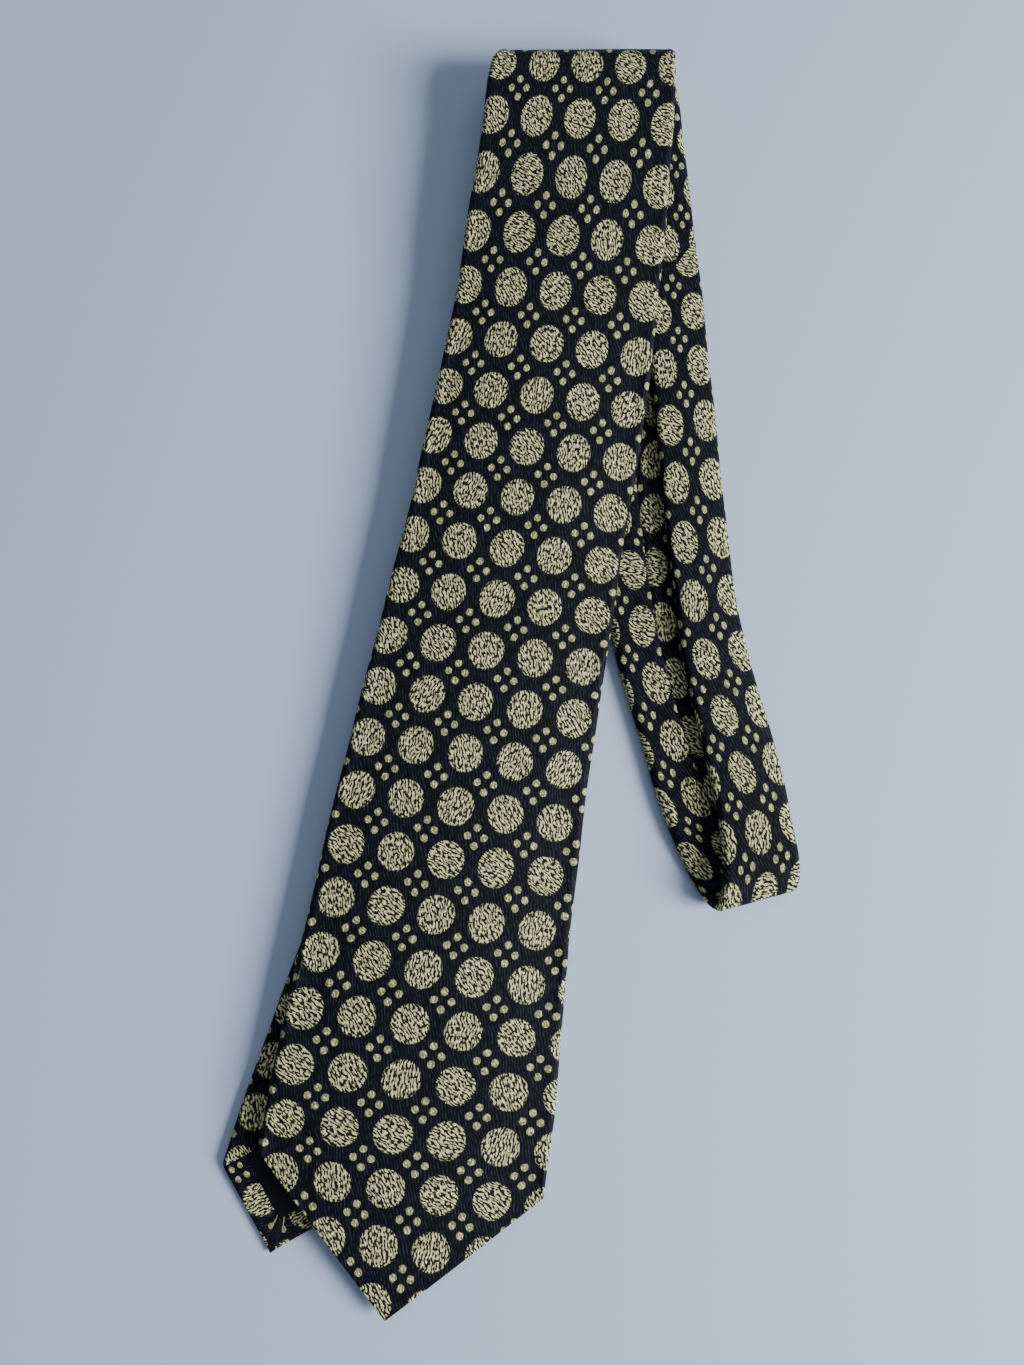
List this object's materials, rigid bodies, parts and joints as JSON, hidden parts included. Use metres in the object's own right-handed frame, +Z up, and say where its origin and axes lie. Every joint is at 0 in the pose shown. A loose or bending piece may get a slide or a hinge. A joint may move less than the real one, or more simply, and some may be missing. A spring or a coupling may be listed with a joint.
{
  "type": "folded necktie",
  "caption": "Lined bias-cut necktie lying folded in half and under itself, with blade, tail, neck loop, keeper and piecing seams",
  "frame": {"origin": "bottom centre of the folded tie's box, on the surface it lies on", "axes": "+X to the right across the tie, +Y from the blade's tip to the top fold, +Z up from the table"},
  "size_m": [0.1792, 0.4146, 0.0183],
  "materials": {
    "shell_fabric": "ribbed jacquard silk, near-black navy ground with pale khaki dots",
    "interlining": "brushed wool interlining",
    "lining": "satin-weave lining",
    "thread": "sewing thread",
    "label": "blank woven label"
  },
  "bodies": {
    "neck": {"neck_lower_shell": "shell_fabric", "neck_loop_shell": "shell_fabric", "neck_upper_shell": "shell_fabric", "blade_shell_return": "shell_fabric", "tail_shell_return": "shell_fabric", "neck_interlining": "interlining", "neck_slip_stitch": "thread", "blade_neck_seam": "thread", "neck_tail_seam": "thread"},
    "blade": {"blade_shell": "shell_fabric", "blade_interlining": "interlining", "blade_tipping": "lining", "blade_slip_stitch": "thread", "keeper_loop": "shell_fabric", "maker_label": "label", "care_label": "label", "blade_bar_tack": "thread"},
    "tail": {"tail_shell": "shell_fabric", "tail_interlining": "interlining", "tail_tipping": "lining", "tail_slip_stitch": "thread", "tail_bar_tack": "thread"}
  },
  "joints": [
    {"name": "blade_fold", "type": "hinge", "parent": "neck", "child": "blade", "pos_m": [0.025, 0.2076, 0.00915], "axis": [-1, 0, 0], "range_deg": [0, 170]},
    {"name": "tail_fold", "type": "hinge", "parent": "neck", "child": "tail", "pos_m": [0.046, 0.2015, 0.00905], "axis": [-1, 0, 0], "range_deg": [0, 85]}
  ],
  "couplings": [
    {"joint": "tail_fold", "follows": "blade_fold", "ratio": 0.5}
  ]
}
